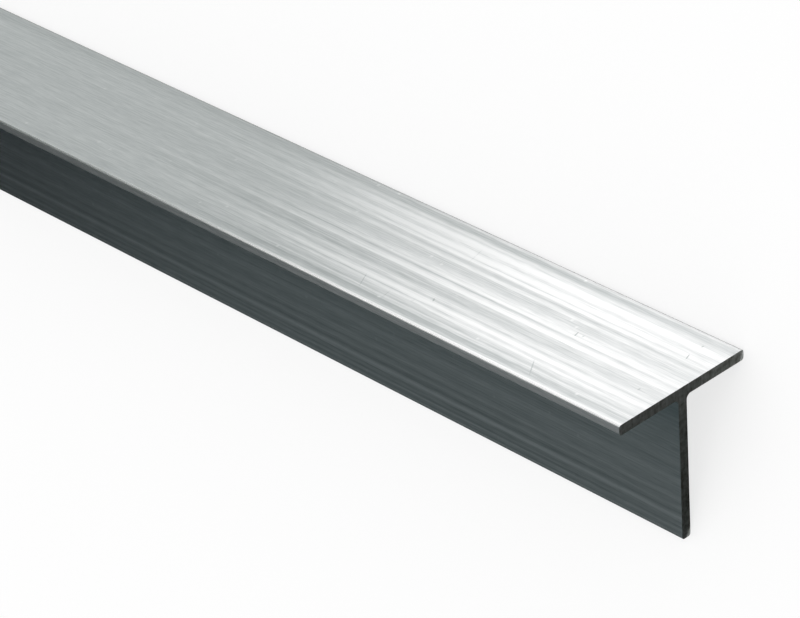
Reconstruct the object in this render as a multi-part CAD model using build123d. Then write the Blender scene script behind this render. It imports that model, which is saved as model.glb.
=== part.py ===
from build123d import *

import math
import os

# Extruded aluminium tee bar: one length of raw stock, lying as it rests on a level floor.
# Millimetres, +X along the bar, +Z up, origin under the middle of the bar.

# Driving dimensions
bar_length = 1000.0
flange_width = 30.0
tee_height = 30.0
flange_thickness = 2.0
web_thickness = 2.0
root_radius = 1.0
edge_radius = 0.5

# The tee section, with the middle of the flange's outer face at the sketch origin and the web below it
flange = Pos(0, -flange_thickness / 2) * Rectangle(flange_width, flange_thickness)
web = Pos(0, -tee_height / 2) * Rectangle(web_thickness, tee_height)
section = flange + web

# Fillets in the two roots between web and flange
root_middle = (0, -flange_thickness)
roots = section.vertices().sort_by_distance(root_middle)[:2]
section = fillet(roots, root_radius)

# Rounding that the die leaves on the six outer corners, the only right-angled ones that remain
corner_places = [
    (-flange_width / 2, 0),
    (flange_width / 2, 0),
    (-flange_width / 2, -flange_thickness),
    (flange_width / 2, -flange_thickness),
    (-web_thickness / 2, -tee_height),
    (web_thickness / 2, -tee_height),
]
corners = [section.vertices().sort_by_distance(place)[0] for place in corner_places]
section = fillet(corners, edge_radius)

# The section is carried straight along the bar and cut square at both ends
bar = extrude(Plane.YZ * section, bar_length / 2, both=True)

# The bar lies on the tip of its web and the inner corner of its flange: the line
# that joins these two corners is turned level, which tips the web's other side up
corner_rise = tee_height - flange_thickness
corner_run = (flange_width - web_thickness) / 2
lean_angle = math.degrees(math.atan2(corner_rise, corner_run))
bar = Rot(-lean_angle, 0, 0) * bar

# Down on to the floor, with the footprint centred on the origin
box = bar.bounding_box()
bar = Pos(0, -(box.min.Y + box.max.Y) / 2, -box.min.Z) * bar
bar.label = "tee_bar"

os.makedirs("parts", exist_ok=True)
export_step(bar, "parts/tee_bar.step")
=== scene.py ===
import math

import bpy
import numpy as np
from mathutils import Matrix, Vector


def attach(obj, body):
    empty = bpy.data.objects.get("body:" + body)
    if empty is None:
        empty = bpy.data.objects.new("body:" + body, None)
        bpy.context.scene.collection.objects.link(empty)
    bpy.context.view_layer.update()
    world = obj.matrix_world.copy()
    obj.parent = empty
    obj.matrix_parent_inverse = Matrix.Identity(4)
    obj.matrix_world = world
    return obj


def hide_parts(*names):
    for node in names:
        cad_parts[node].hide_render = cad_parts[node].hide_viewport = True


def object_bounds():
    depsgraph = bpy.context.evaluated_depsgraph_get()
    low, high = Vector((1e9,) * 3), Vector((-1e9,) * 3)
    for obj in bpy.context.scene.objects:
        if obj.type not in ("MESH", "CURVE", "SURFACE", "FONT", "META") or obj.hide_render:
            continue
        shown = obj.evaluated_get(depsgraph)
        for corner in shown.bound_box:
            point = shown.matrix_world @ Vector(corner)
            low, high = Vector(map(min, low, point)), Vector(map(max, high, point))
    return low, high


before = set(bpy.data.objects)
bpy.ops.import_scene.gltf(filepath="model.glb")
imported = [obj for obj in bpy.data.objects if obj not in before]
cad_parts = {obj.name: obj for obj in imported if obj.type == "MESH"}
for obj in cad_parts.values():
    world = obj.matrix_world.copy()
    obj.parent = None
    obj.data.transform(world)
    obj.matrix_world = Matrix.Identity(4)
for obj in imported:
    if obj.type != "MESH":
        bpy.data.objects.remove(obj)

cad_low, cad_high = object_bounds()

# Tee bar
# One length of extruded aluminium: a flat flange with a web along its middle, pushed through a die in one
# piece. The die draws fine lines along every face and rounds the edges, and a saw cuts both ends square.
# It is left raw, with no coating, so the lines, a few scratches from handling and the saw marks all show.

mm = 0.001
bar_length = cad_high.x - cad_low.x
flange_width = 30 * mm
tee_height = 30 * mm
wall = 2 * mm
root_radius = 1.0 * mm
edge_radius = 0.5 * mm

half_flange = flange_width / 2
half_wall = wall / 2
flat_half = half_flange - edge_radius
root_reach = half_wall + root_radius
near_end = bar_length / 2


def arc(centre_u, centre_v, radius, start_degrees, end_degrees, count):
    """Points on a circular arc: centre plus radius times cosine and sine of evenly spaced angles."""
    angle = np.radians(np.linspace(start_degrees, end_degrees, count))
    return np.stack([centre_u + radius * np.cos(angle), centre_v + radius * np.sin(angle)], axis=1)


def straight(start, end, spacing):
    """Points on a straight line, without its first: evenly spaced mixes of its two ends."""
    count = math.ceil(math.dist(start, end) / spacing)
    share = np.arange(1, count + 1)[:, None] / count
    return (1 - share) * np.array(start) + share * np.array(end)


# The section's outline, against the clock, from the middle of the flange's outer face: u runs across the
# flange from front to back and v up the web, and the second half mirrors the first
point_spacing = 0.15 * mm
edge_points = 9
root_points = 15
flange_under = -wall + edge_radius
web_root = -wall - root_radius
web_tip = -tee_height + edge_radius
front_half = np.concatenate([
    straight((0, 0), (-flat_half, 0), point_spacing),
    arc(-flat_half, -edge_radius, edge_radius, 90, 180, edge_points)[1:],
    straight((-half_flange, -edge_radius), (-half_flange, flange_under), point_spacing),
    arc(-flat_half, flange_under, edge_radius, 180, 270, edge_points)[1:],
    straight((-flat_half, -wall), (-root_reach, -wall), point_spacing),
    arc(-root_reach, web_root, root_radius, 90, 0, root_points)[1:],
    straight((-half_wall, web_root), (-half_wall, web_tip), point_spacing),
    arc(-half_wall + edge_radius, web_tip, edge_radius, 180, 270, edge_points)[1:],
    straight((-half_wall + edge_radius, -tee_height), (0, -tee_height), point_spacing),
])
outline = np.concatenate([[(0, 0)], front_half, front_half[-2::-1] * [-1, 1]])
ring_size = len(outline)

# Distance round the outline, and the outward normal at each of its points
step = np.roll(outline, -1, axis=0) - outline
step_length = np.hypot(step[:, 0], step[:, 1])
girth = step_length.sum()
around = np.cumsum(step_length) - step_length
heading = step / step_length[:, None]
heading = heading + np.roll(heading, 1, axis=0)
heading /= np.hypot(heading[:, 0], heading[:, 1])[:, None]
outward = np.stack([heading[:, 1], -heading[:, 0]], axis=1)

# Die lines as place and half width in millimetres, and tone from dark to bright: first across the flange's
# outer face, then up the web's front side. Two entries are painted light, not die lines, and are marked where
# they stand.
flange_lines = np.array([
    (14.3, 0.3, 0.5), (13.1, 0.75, -0.95), (12.0, 0.35, 0.4), (11.35, 0.2, -0.25), (10.45, 0.7, 1.0),
    (8.5, 2.6, 0.75), (9.0, 0.55, -0.35), (7.7, 0.55, 0.8), (6.85, 0.25, -0.3), (6.2, 0.4, 0.75),
    (5.1, 0.42, -0.55), (4.2, 0.55, 0.65), (2.8, 0.7, -0.3), (0.6, 0.6, 0.5), (-0.35, 0.5, 1.0),
    (-1.0, 0.22, -1.0), (-1.8, 0.45, 0.6), (-2.5, 0.5, 1.0), (-3.5, 0.5, -0.4), (-4.2, 0.5, -0.2),
    (-4.95, 0.55, -0.55), (-6.3, 0.55, 0.45), (-7.0, 0.25, -0.3), (-8.25, 0.65, 1.4), (-9.1, 0.2, -0.5),
    (-9.7, 0.38, 0.85), (-11.2, 0.3, -0.5), (-11.8, 0.3, 0.15), (-12.85, 0.5, -1.0), (-13.6, 0.5, -0.75),
    # Painted highlight: this bright line on the front edge's rounding is where that edge catches the light
    (-14.6, 0.27, 2.0),
])
web_lines = np.array([
    # Painted shade: this dark line at the top of the web's visible side is the shade under the flange's front
    # edge
    (-15.8, 0.5, -0.35), (-17.2, 0.4, -0.15), (-18.3, 0.6, 0.45), (-20.6, 0.8, -0.15), (-21.9, 0.45, 0.35),
    (-23.0, 0.4, -0.45), (-23.8, 0.3, 0.3), (-24.8, 0.45, -0.85), (-25.8, 0.35, 1.4), (-26.8, 0.3, -0.5),
    (-27.6, 0.3, -0.75), (-28.1, 0.2, 0.3), (-28.8, 0.3, -0.65), (-29.4, 0.25, 0.5),
])

# The faces that the photo hides get lines of the same kind at random places: round from the web's tip to the
# flange's back edge, and along the ledge under the flange's front half
rng = np.random.default_rng(7)
hidden_from = around[np.argmin(outline[:, 1])]
hidden_to = girth - half_flange
hidden_count = 56
ledge_from = half_flange + wall
ledge_count = 14
hidden_places = np.concatenate([
    rng.uniform(hidden_from, hidden_to, hidden_count),
    rng.uniform(ledge_from, ledge_from + half_flange, ledge_count),
])
thinnest_half = 0.15
thickest_half = 0.6
darkest_tone = -0.9
brightest_tone = 0.6
hidden_halves = rng.uniform(thinnest_half, thickest_half, len(hidden_places))
hidden_tones = rng.uniform(darkest_tone, brightest_tone, len(hidden_places))

# All the lines in columns: place round the outline, half width and tone
tolerance = 0.0001 * mm
web_start = around[np.argmax(outline[:, 1] < web_root + tolerance)]
line_place = np.concatenate([
    np.mod(-flange_lines[:, 0] * mm, girth),
    web_start + (web_root - web_lines[:, 0] * mm),
    hidden_places,
])[:, None]
line_half = np.concatenate([flange_lines[:, 1], web_lines[:, 1], hidden_halves])[:, None] * mm
line_tone = np.concatenate([flange_lines[:, 2], web_lines[:, 2], hidden_tones])[:, None]

# Each line swells and fades along the bar in its own rhythm: nearly away on most faces, and less on the web's
# front side. The swells are fullest 50 mm from the near end, where the highlight falls, so the lines'
# strength there is partly painted highlight.
station_count = 101
stations = np.linspace(-near_end, near_end, station_count)
swell_length = 220 * mm
highlight_peak = near_end - 50 * mm
length_spread = 0.15
phase_spread = 0.35
line_length = swell_length * rng.uniform(1 - length_spread, 1 + length_spread, line_place.shape)
line_phase = rng.uniform(-phase_spread, phase_spread, line_place.shape)
usual_fading = 0.88
web_fading = 0.3
fading = np.full(line_place.shape, usual_fading)
fading[len(flange_lines):len(flange_lines) + len(web_lines)] = web_fading


def swell(along, length, phase):
    """How strongly a line shows along the bar: a raised cosine, squared to fade for longer than it peaks."""
    return (0.5 + 0.5 * np.cos(2 * math.pi * (along - highlight_peak) / length + phase)) ** 2


def die_lines(along, round_section):
    """Tone of the lines: each is a bell across the face, times a share that swells and fades along it
    (painted highlight at its peak).
    """
    off = round_section - line_place
    off = off - girth * np.round(off / girth)
    bell = line_tone * np.exp(-(off / line_half) ** 2)
    share = 1 - fading + fading * swell(along, line_length, line_phase)
    return share.T @ bell


streak = die_lines(stations, around)

# The section turned to lie on web tip and flange corner, and set down on the floor, with bright lines a hair
# proud of it and dark ones as deep
lean = math.atan2(tee_height - wall, half_flange - half_wall)
turn = np.array([[math.cos(lean), -math.sin(lean)], [math.sin(lean), math.cos(lean)]])
tipped = outline @ turn
floor_middle = (cad_low.y + cad_high.y) / 2
down = np.array([floor_middle - (tipped[:, 0].min() + tipped[:, 0].max()) / 2, -tipped[:, 1].min()])
line_height = 0.006 * mm
drawn = outline[None] + line_height * streak[:, :, None] * outward[None]
placed = drawn @ turn + down
along = np.broadcast_to(stations[:, None, None], (station_count, ring_size, 1))
points = np.concatenate([along, placed], axis=2).reshape(-1, 3)

# Quads along the bar, and one many-sided face on each cut end
ring = np.arange(ring_size)
row = np.arange(station_count - 1)[:, None] * ring_size
here = row + ring
beside = row + (ring + 1) % ring_size
quads = np.stack([here, beside, beside + ring_size, here + ring_size], axis=2).reshape(-1, 4)
far_cap = ring[::-1]
near_cap = ring + (station_count - 1) * ring_size
mesh = bpy.data.meshes.new("tee_bar_skin")
mesh.from_pydata(points.tolist(), [], quads.tolist() + [far_cap.tolist(), near_cap.tolist()])

# UV in metres: round the section and along the bar on the long faces, across the section on the cut ends
uv = np.zeros((station_count - 1, ring_size, 4, 2))
uv[:, :, [0, 3], 0] = around[None, :, None]
uv[:, :, [1, 2], 0] = (around + step_length)[None, :, None]
uv[:, :, 0:2, 1] = stations[:-1, None, None]
uv[:, :, 2:4, 1] = stations[1:, None, None]
uv = np.concatenate([uv.reshape(-1, 2), outline[far_cap], outline[ring]])
mesh.uv_layers.new(name="grain").data.foreach_set("uv", uv.astype(np.float32).ravel())

# Roughness: the die drags the narrow edges rougher than the broad faces, and leaves the rounded corners
# smoother
face_roughness = 0.32
edge_roughness = 0.45
corner_roughness = 0.2
at_tip = outline[:, 1] < web_tip - tolerance
on_edge = (np.abs(outline[:, 0]) > flat_half + tolerance) | at_tip
sideways = np.where(at_tip, outward[:, 1], outward[:, 0])
edge_share = on_edge * sideways ** 2
corner_share = on_edge * (2 * outward[:, 0] * outward[:, 1]) ** 2
roughness = face_roughness + edge_share * (edge_roughness - face_roughness)
roughness = roughness + corner_share * (corner_roughness - roughness)

# The fine grain keeps a share of its strength where the lines have faded, and like them is fullest where the
# highlight
# falls: there it is partly painted highlight
least_grain = 0.35
grain_highlight_share = least_grain + (1 - least_grain) * swell(stations, swell_length, 0)
for name, values in (("finish", roughness), ("grain_highlight_share", grain_highlight_share[:, None]), ("die_line_and_highlight", streak)):
    values = np.broadcast_to(values, streak.shape).astype(np.float32)
    mesh.attributes.new(name, "FLOAT", "POINT").data.foreach_set("value", values.ravel())

# The cut ends get the second material and flat shading
cut_face = np.zeros(len(quads) + 2, np.int32)
cut_face[-2:] = 1
mesh.polygons.foreach_set("material_index", cut_face)
mesh.polygons.foreach_set("use_smooth", cut_face == 0)
sharp_degrees = 60
mesh.set_sharp_from_angle(angle=math.radians(sharp_degrees))
mesh.update()


def linear(hex_colour):
    """sRGB hex colour as linear RGBA: each channel undone from the sRGB curve."""
    part = [int(hex_colour[i:i + 2], 16) / 255 for i in (1, 3, 5)]
    return [c / 12.92 if c <= 0.04045 else ((c + 0.055) / 1.055) ** 2.4 for c in part] + [1.0]


def node(tree, kind, settings=None, inputs=None, links=None):
    """Adds a shader node with its settings, socket values and links, and returns it."""
    made = tree.nodes.new(kind)
    for name, value in (settings or {}).items():
        setattr(made, name, value)
    for name, value in (inputs or {}).items():
        made.inputs[name].default_value = value
    for name, socket in (links or {}).items():
        tree.links.new(socket, made.inputs[name])
    return made


def material(name):
    """A material with an empty node tree, and that tree."""
    made = bpy.data.materials.new(name)
    made.use_nodes = True
    made.node_tree.nodes.clear()
    return made, made.node_tree


# Mill-finish aluminium: bare bright metal whose die lines spread a reflection across the bar but hardly along
# it. Between the lines that the mesh carries lie a long fine grain and short streaks of tiny pits. The real
# ones are some hundredths of a millimetre wide, so both are drawn coarser, to show.
mill, tree = material("mill-finish extruded aluminium")
# Die line tone, fullest where the highlight falls: die lines and painted highlight
line = node(tree, "ShaderNodeAttribute", {"attribute_name": "die_line_and_highlight"})
finish = node(tree, "ShaderNodeAttribute", {"attribute_name": "finish"})
grain_uv = node(tree, "ShaderNodeUVMap", {"uv_map": "grain"})
tangent = node(tree, "ShaderNodeTangent", {"direction_type": "UV_MAP", "uv_map": "grain"})

# Most of a noise lies between these two values
noise_low = 0.3
noise_high = 0.7
grain_width = 0.35 * mm
grain_length = 110 * mm
grain_tone = 0.36
grain_place = node(tree, "ShaderNodeMapping", {}, {"Scale": (1 / grain_width, 1 / grain_length, 1)},
                   {"Vector": grain_uv.outputs["UV"]})
grain = node(tree, "ShaderNodeTexNoise", {"noise_dimensions": "2D"},
             {"Scale": 1.0, "Detail": 3.0, "Roughness": 0.65}, {"Vector": grain_place.outputs["Vector"]})
fine = node(tree, "ShaderNodeMapRange", {},
            {"From Min": noise_low, "From Max": noise_high, "To Min": -grain_tone, "To Max": grain_tone},
            {"Value": grain.outputs["Fac"]})
# How strongly the grain shows, fullest where the highlight falls: partly painted highlight
shown = node(tree, "ShaderNodeAttribute", {"attribute_name": "grain_highlight_share"})
fine = node(tree, "ShaderNodeMath", {"operation": "MULTIPLY"}, {},
            {0: fine.outputs["Result"], 1: shown.outputs["Fac"]})
tone = node(tree, "ShaderNodeMath", {"operation": "ADD"}, {},
            {0: line.outputs["Fac"], 1: fine.outputs["Value"]})

pit_width = 0.3 * mm
pit_length = 6 * mm
pit_tone = 0.32
pit_place = node(tree, "ShaderNodeMapping", {}, {"Scale": (1 / pit_width, 1 / pit_length, 1)},
                 {"Vector": grain_uv.outputs["UV"]})
pits = node(tree, "ShaderNodeTexNoise", {"noise_dimensions": "2D"},
            {"Scale": 1.0, "Detail": 2.0, "Roughness": 0.7}, {"Vector": pit_place.outputs["Vector"]})
pitted = node(tree, "ShaderNodeMapRange", {},
              {"From Min": noise_low, "From Max": noise_high, "To Min": -pit_tone, "To Max": pit_tone},
              {"Value": pits.outputs["Fac"]})
tone = node(tree, "ShaderNodeMath", {"operation": "ADD"}, {},
            {0: tone.outputs["Value"], 1: pitted.outputs["Result"]})

# Bright flecks where the skin was nicked, one to a cell of a scattered pattern, each as bright as its cell's
# own share. Their reach and their bright core are shares of a cell.
fleck_across = 13 * mm
fleck_along = 11 * mm
fleck_reach = 0.035
fleck_core = 0.012
fleck_tone = 0.7
fleck_place = node(tree, "ShaderNodeMapping", {}, {"Scale": (1 / fleck_across, 1 / fleck_along, 1)},
                   {"Vector": grain_uv.outputs["UV"]})
cells = node(tree, "ShaderNodeTexVoronoi", {"voronoi_dimensions": "2D"}, {"Scale": 1.0},
             {"Vector": fleck_place.outputs["Vector"]})
flecks = node(tree, "ShaderNodeMapRange", {},
              {"From Min": fleck_reach, "From Max": fleck_core, "To Max": fleck_tone},
              {"Value": cells.outputs["Distance"]})
cell_share = node(tree, "ShaderNodeSeparateColor", {}, {}, {"Color": cells.outputs["Color"]})
tone = node(tree, "ShaderNodeMath", {"operation": "MULTIPLY_ADD"}, {},
            {0: flecks.outputs["Result"], 1: cell_share.outputs["Red"], 2: tone.outputs["Value"]})

# Scratches from handling, as distance from the near end, place across the flange's outer face, length and
# width in millimetres, turn in degrees from straight across, and how dark: each is a thin oval on the UV map
scratches = [
    (-24.2, 0.3, 2.4, 0.3, 14, 2.0), (-22.9, 0.8, 0.7, 0.4, 0, 1.0), (-22.8, -11.6, 5.6, 0.28, 34, 1.1),
    (-64.6, -10.3, 5.2, 0.2, 28, 1.0), (-58.1, -11.0, 3.4, 0.18, 12, 0.6), (-53.0, -9.6, 1.3, 0.2, 0, 0.6),
    (-55.1, 7.7, 5.4, 0.24, 14, 0.6), (-50.4, -7.2, 1.2, 0.4, 30, 1.6), (-5.4, 7.3, 2.0, 0.3, 20, 1.6),
    (-5.6, 11.2, 0.8, 0.4, 0, 1.2), (-4.9, -5.0, 0.9, 0.4, 0, 1.0),
]
for from_end, across, length, width, turned, depth in scratches:
    place = node(tree, "ShaderNodeMapping", {"vector_type": "TEXTURE"},
                 {"Location": (-across * mm % girth, near_end + from_end * mm, 0),
                  "Rotation": (0, 0, math.radians(turned)),
                  "Scale": (length / 2 * mm, width / 2 * mm, 1)},
                 {"Vector": grain_uv.outputs["UV"]})
    away = node(tree, "ShaderNodeVectorMath", {"operation": "LENGTH"}, {},
                {"Vector": place.outputs["Vector"]})
    mark = node(tree, "ShaderNodeMapRange", {},
                {"From Min": 1.0, "From Max": 0.5, "To Min": 0.0, "To Max": depth},
                {"Value": away.outputs["Value"]})
    tone = node(tree, "ShaderNodeMath", {"operation": "SUBTRACT"}, {},
                {0: tone.outputs["Value"], 1: mark.outputs["Result"]})

dark_line = linear("#BCC0C0")
bright_line = linear("#FCFCFC")
tone_reach = 1.05
grain_depth = 0.004 * mm
bright = node(tree, "ShaderNodeMapRange", {}, {"From Min": -tone_reach, "From Max": tone_reach},
              {"Value": tone.outputs["Value"]})
colour = node(tree, "ShaderNodeMix", {"data_type": "RGBA"}, {"A": dark_line, "B": bright_line},
              {"Factor": bright.outputs["Result"]})
bump = node(tree, "ShaderNodeBump", {}, {"Strength": 1.0, "Distance": grain_depth},
            {"Height": grain.outputs["Fac"]})
shader = node(tree, "ShaderNodeBsdfPrincipled", {}, {"Metallic": 1.0, "Anisotropic": 0.9},
              {"Base Color": colour.outputs["Result"], "Roughness": finish.outputs["Fac"],
               "Normal": bump.outputs["Normal"], "Tangent": tangent.outputs["Tangent"]})
node(tree, "ShaderNodeOutputMaterial", {}, {}, {"Surface": shader.outputs["BSDF"]})

# Saw-cut aluminium: the blade leaves shallow ridges up the section, and torn, dull specks between bright ones
cut, tree = material("saw-cut aluminium")
torn_metal = linear("#8C8D88")
sawn_metal = linear("#DADCDC")
ridge_spacing = 0.45 * mm
ridge_length = 6 * mm
ridge_weight = 0.4
ridge_depth = 0.02 * mm
tear_size = 1.4 * mm
torn_roughness = 0.55
sawn_roughness = 0.38
section_uv = node(tree, "ShaderNodeUVMap", {"uv_map": "grain"})
ridge_place = node(tree, "ShaderNodeMapping", {}, {"Scale": (1 / ridge_spacing, 1 / ridge_length, 1)},
                   {"Vector": section_uv.outputs["UV"]})
ridges = node(tree, "ShaderNodeTexNoise", {"noise_dimensions": "2D"}, {"Scale": 1.0, "Detail": 2.0},
              {"Vector": ridge_place.outputs["Vector"]})
tears = node(tree, "ShaderNodeTexNoise", {"noise_dimensions": "2D"}, {"Scale": 1 / tear_size, "Detail": 3.0},
             {"Vector": section_uv.outputs["UV"]})
sawn = node(tree, "ShaderNodeMath", {"operation": "MULTIPLY_ADD"}, {1: ridge_weight},
            {0: ridges.outputs["Fac"], 2: tears.outputs["Fac"]})
sawn = node(tree, "ShaderNodeMapRange", {}, {"From Min": 0.45, "From Max": 0.98},
            {"Value": sawn.outputs["Value"]})
colour = node(tree, "ShaderNodeMix", {"data_type": "RGBA"}, {"A": torn_metal, "B": sawn_metal},
              {"Factor": sawn.outputs["Result"]})
rough = node(tree, "ShaderNodeMapRange", {},
             {"From Min": noise_low, "From Max": noise_high,
              "To Min": torn_roughness, "To Max": sawn_roughness},
             {"Value": tears.outputs["Fac"]})
bump = node(tree, "ShaderNodeBump", {}, {"Strength": 1.0, "Distance": ridge_depth},
            {"Height": sawn.outputs["Result"]})
shader = node(tree, "ShaderNodeBsdfPrincipled", {}, {"Metallic": 1.0},
              {"Base Color": colour.outputs["Result"], "Roughness": rough.outputs["Result"],
               "Normal": bump.outputs["Normal"]})
node(tree, "ShaderNodeOutputMaterial", {}, {}, {"Surface": shader.outputs["BSDF"]})

mesh.materials.append(mill)
mesh.materials.append(cut)
bar = bpy.data.objects.new("tee_bar_skin", mesh)
bpy.context.scene.collection.objects.link(bar)
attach(bar, "root")
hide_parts("tee_bar")


# Floor
# A plain white table top under the bar, wide enough to fill the picture.
# It looks white to the eye and in the metal, and still takes the bar's soft shadow.
def sheet(name, corners, surface):
    """A flat card from its four corners, kept apart from the object."""
    flat = bpy.data.meshes.new(name)
    flat.from_pydata(corners, [], [(0, 1, 2, 3)])
    flat.materials.append(surface)
    card = bpy.data.objects.new(name, flat)
    bpy.context.scene.collection.objects.link(card)
    return card


def level_corners(x_from, x_to, y_from, y_to, height):
    """Corners of a card that lies level, its face up."""
    return [(x_from, y_from, height), (x_to, y_from, height), (x_to, y_to, height), (x_from, y_to, height)]


white, tree = material("white table top")
white_share = 0.7
ray = node(tree, "ShaderNodeLightPath")
seen = node(tree, "ShaderNodeMath", {"operation": "MAXIMUM"}, {},
            {0: ray.outputs["Is Camera Ray"], 1: ray.outputs["Is Glossy Ray"]})
seen = node(tree, "ShaderNodeMath", {"operation": "MAXIMUM"}, {},
            {0: seen.outputs["Value"], 1: ray.outputs["Is Transmission Ray"]})
seen = node(tree, "ShaderNodeMath", {"operation": "MULTIPLY"}, {1: white_share}, {0: seen.outputs["Value"]})
lit = node(tree, "ShaderNodeBsdfDiffuse", {}, {"Color": linear("#FEFEFE")})
plain = node(tree, "ShaderNodeEmission", {}, {"Color": linear("#FFFFFF"), "Strength": 1.0})
shader = node(tree, "ShaderNodeMixShader", {}, {},
              {0: seen.outputs["Value"], 1: lit.outputs["BSDF"], 2: plain.outputs["Emission"]})
node(tree, "ShaderNodeOutputMaterial", {}, {}, {"Surface": shader.outputs["Shader"]})
floor_reach = 30
sheet("floor", level_corners(-floor_reach, floor_reach, -floor_reach, floor_reach, 0), white)


# Reflection cards
# Grey, black and white cards laid, stood and hung round the bar, as a studio does for bright metal.
# They show only in its reflections: its dark web, its bright near end and the dark line along its back foot,
# which is painted contact shadow; the grey card under the bar is painted shadow too.
def reflection_card(name, corners, colours, strength=1.0, direction=(1, 0, 0), fade=(0, 1)):
    """A card whose glow goes from one colour to the other by a smooth step: the place along a direction,
    taken between the two ends of the fade."""
    glow, glow_tree = material(name)
    place = node(glow_tree, "ShaderNodeTexCoord")
    reach = node(glow_tree, "ShaderNodeVectorMath", {"operation": "DOT_PRODUCT"}, {1: direction},
                 {0: place.outputs["Object"]})
    share = node(glow_tree, "ShaderNodeMapRange", {"interpolation_type": "SMOOTHSTEP"},
                 {"From Min": fade[0], "From Max": fade[1]}, {"Value": reach.outputs["Value"]})
    mixed = node(glow_tree, "ShaderNodeMix", {"data_type": "RGBA"},
                 {"A": linear(colours[0]), "B": linear(colours[1])}, {"Factor": share.outputs["Result"]})
    emission = node(glow_tree, "ShaderNodeEmission", {}, {"Strength": strength},
                    {"Color": mixed.outputs["Result"]})
    node(glow_tree, "ShaderNodeOutputMaterial", {}, {}, {"Surface": emission.outputs["Emission"]})
    card = sheet(name, corners, glow)
    card.visible_camera = False
    card.visible_diffuse = False
    card.visible_shadow = False
    card.visible_transmission = False


# Cards on the floor: behind the bar, along its back foot, under it, in front of it and past its near end. The
# two along its back foot and under it are painted shadow.
lift = 0.2 * mm
gap = 0.2 * mm
card_end = 3.0
back_edge = cad_high.y + gap
front_edge = cad_low.y - gap
end_edge = cad_high.x + gap
front_wall = -0.4
end_wall = 1.0
end_half = 0.3
contact_shadow_width = 0.7 * mm
dark = ("#303230", "#303230")
shadow_grey = ("#8A908E", "#8A908E")
reflection_card("back card", level_corners(-card_end, card_end, back_edge, card_end, lift),
                ("#A9AEAD", "#FFFFFF"), strength=1.34, direction=(1, 0.9, 0), fade=(0.397, 0.503))
# Painted contact shadow: a dark strip along the back foot, seen only in the metal
reflection_card("contact shadow card",
                level_corners(-card_end, end_edge, back_edge, back_edge + contact_shadow_width, 2 * lift),
                dark, strength=0.5)
# Painted shadow under the bar: a grey card where the floor lies in its shade, seen only in the metal
reflection_card("under shadow card", level_corners(-card_end, end_edge, front_edge, back_edge, lift), shadow_grey)
reflection_card("front card", level_corners(-card_end, card_end, front_wall, front_edge, lift),
                ("#242C30", "#3A4244"), fade=(0.2, 0.5))
end_slant = 0.5
end_fade_from = -end_slant * end_edge - 1 * mm
end_fade_to = -end_slant * end_edge + 27 * mm
reflection_card("end card", level_corners(end_edge, end_wall, -end_half, end_half, 2 * lift),
                ("#303230", "#848682"), direction=(-end_slant, 1, 0), fade=(end_fade_from, end_fade_to))

# Cards that stand in front of the bar and past its near end, and one that hangs over its far end
front_height = 1.5
end_wall_half = 0.6
end_height = 0.8
ceiling = 2.0
ceiling_reach = 8.0
ceiling_end = -0.3
reflection_card("front wall",
                [(-card_end, front_wall, 0), (card_end, front_wall, 0),
                 (card_end, front_wall, front_height), (-card_end, front_wall, front_height)],
                ("#161E22", "#4C5658"), fade=(-0.18, 0.05))
reflection_card("end wall",
                [(end_wall, -end_wall_half, 0), (end_wall, end_wall_half, 0),
                 (end_wall, end_wall_half, end_height), (end_wall, -end_wall_half, end_height)], dark)
reflection_card("ceiling card",
                level_corners(-ceiling_reach, ceiling_end, front_wall, ceiling_reach, ceiling),
                ("#808684", "#FFFFFF"), direction=(1, 0.6, 0), fade=(-1.28, -0.9))

# Daylight
# Even white light from all round, at the level where a surface shows its own colour.
world = bpy.data.worlds.new("white studio")
world.use_nodes = True
bpy.context.scene.world = world
background = world.node_tree.nodes["Background"]
background.inputs["Color"].default_value = linear("#FFFFFF")
background.inputs["Strength"].default_value = 1.0

# Camera
# It stands where lines fitted to the photo's edges put it, looking along the bar and down on its near end.
camera_data = bpy.data.cameras.new("camera")
camera_data.lens = 163.43
camera = bpy.data.objects.new("camera", camera_data)
camera.location = (0.83859, 0.13833, 0.48263)
camera.rotation_euler = [math.radians(angle) for angle in (1.232, 42.134, 20.718)]
bpy.context.scene.collection.objects.link(camera)
bpy.context.scene.camera = camera
bpy.context.scene.view_settings.view_transform = "Standard"
